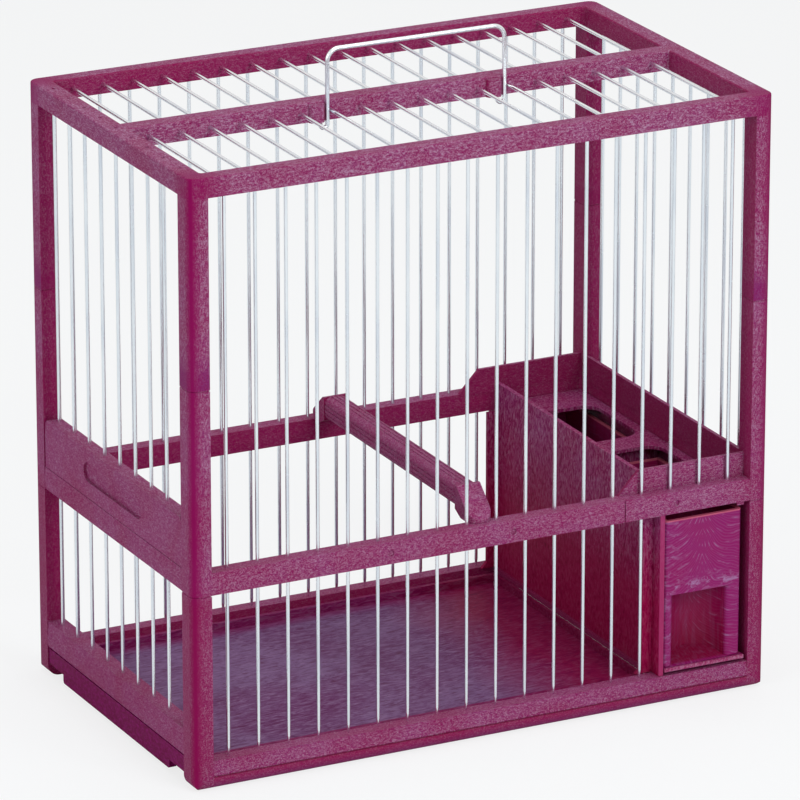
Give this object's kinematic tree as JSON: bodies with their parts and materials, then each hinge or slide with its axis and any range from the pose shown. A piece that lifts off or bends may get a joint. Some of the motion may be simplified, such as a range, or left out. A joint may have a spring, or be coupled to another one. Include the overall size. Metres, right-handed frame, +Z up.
{
  "type": "bird show cage",
  "caption": "Small moulded and wired show cage for a song bird, with a lift door, cleaning tray, perch, food drawers and a wire handle.",
  "frame": {"origin": "middle of the footprint, on the surface that the cage stands on", "axes": "+Z up, the front with the food drawer towards -Y, the lift door end towards -X"},
  "size_m": [0.25, 0.148, 0.2675],
  "materials": {
    "plastic": "marbled magenta, light sheen",
    "divider_plastic": "brushed dark magenta",
    "drawer_plastic": "smooth magenta with flow marks",
    "tray_plastic": "purple with fine swirl marks",
    "perch_plastic": "fluted magenta",
    "wire": "bright zinc",
    "handle_wire": "bright zinc"
  },
  "bodies": {
    "cage": {"bottom_frame": "plastic", "middle_frame": "plastic", "roof_frame": "plastic", "front_wires": "wire", "front_short_wires": "wire", "back_wires": "wire", "back_short_wires": "wire", "right_end_wires": "wire", "left_end_wires": "wire", "roof_wires": "wire", "feeder_divider": "divider_plastic", "drawer_partition": "divider_plastic", "feeder_deck": "divider_plastic"},
    "door": {"door_bar": "plastic", "door_wires": "wire"},
    "tray": {"cleaning_tray": "tray_plastic"},
    "front_food_drawer": {"front_drawer": "drawer_plastic"},
    "back_food_drawer": {"back_drawer": "drawer_plastic"},
    "perch_bar": {"perch": "perch_plastic"},
    "carrying_handle": {"handle": "handle_wire"}
  },
  "joints": [
    {"name": "door_lift", "type": "slide", "parent": "cage", "child": "door", "axis": [0, 0, 1], "range_m": [0, 0.125]},
    {"name": "tray_slide", "type": "slide", "parent": "cage", "child": "tray", "axis": [-1, 0, 0], "range_m": [0, 0.185]},
    {"name": "front_drawer_slide", "type": "slide", "parent": "cage", "child": "front_food_drawer", "axis": [0, -1, 0], "range_m": [0, 0.06]},
    {"name": "back_drawer_slide", "type": "slide", "parent": "cage", "child": "back_food_drawer", "axis": [0, 1, 0], "range_m": [0, 0.06]},
    {"name": "perch_lift", "type": "slide", "parent": "cage", "child": "perch_bar", "axis": [0, 0, 1], "range_m": [0, 0.05]},
    {"name": "handle_drop", "type": "slide", "parent": "cage", "child": "carrying_handle", "axis": [0, 0, -1], "range_m": [-0.0007, 0.0174]}
  ]
}
